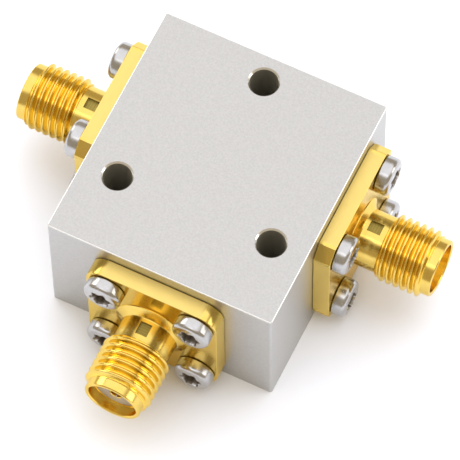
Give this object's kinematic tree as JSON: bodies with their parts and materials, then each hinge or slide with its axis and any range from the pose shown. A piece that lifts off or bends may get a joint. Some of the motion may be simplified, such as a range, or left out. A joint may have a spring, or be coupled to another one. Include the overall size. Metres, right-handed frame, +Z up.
{
  "type": "rf circulator",
  "caption": "Rectangular metal coaxial circulator with threaded gold jacks on three sides and vertical through holes for mounting.",
  "frame": {"origin": "centre of the housing's base", "axes": "+Z up through the top face, -Y out of the front port, +X and -X out of the side ports"},
  "size_m": [0.041, 0.0331, 0.0146],
  "materials": {
    "housing": "satin, fine-grained silver plate",
    "cover": "satin, turned",
    "gold": "bright gold plate",
    "contact_gold": "bright gold plate",
    "insulator": "waxy, off-white fluoropolymer",
    "screw_steel": "bright stainless",
    "magnet": "nickel-plated magnet alloy",
    "pole_steel": "ground steel",
    "silver_plate": "silver plate",
    "ferrite": "ground ferrite",
    "dielectric": "fired ceramic",
    "conductor": "copper sheet"
  },
  "bodies": {
    "root": {"housing": "housing", "bottom_cover": "cover", "upper_magnet": "magnet", "upper_pole_piece": "pole_steel", "upper_ground_plate": "silver_plate", "upper_ferrite": "ferrite", "upper_dielectric_ring": "dielectric", "lower_magnet": "magnet", "lower_pole_piece": "pole_steel", "lower_ground_plate": "silver_plate", "lower_ferrite": "ferrite", "lower_dielectric_ring": "dielectric", "center_conductor": "conductor", "front_connector_shell": "gold", "front_insulator": "insulator", "front_center_contact": "contact_gold", "front_screw_upper_left": "screw_steel", "front_screw_upper_right": "screw_steel", "front_screw_lower_left": "screw_steel", "front_screw_lower_right": "screw_steel", "right_connector_shell": "gold", "right_insulator": "insulator", "right_center_contact": "contact_gold", "right_screw_upper_left": "screw_steel", "right_screw_upper_right": "screw_steel", "right_screw_lower_left": "screw_steel", "right_screw_lower_right": "screw_steel", "left_connector_shell": "gold", "left_insulator": "insulator", "left_center_contact": "contact_gold", "left_screw_upper_left": "screw_steel", "left_screw_upper_right": "screw_steel", "left_screw_lower_left": "screw_steel", "left_screw_lower_right": "screw_steel"}
  },
  "joints": []
}
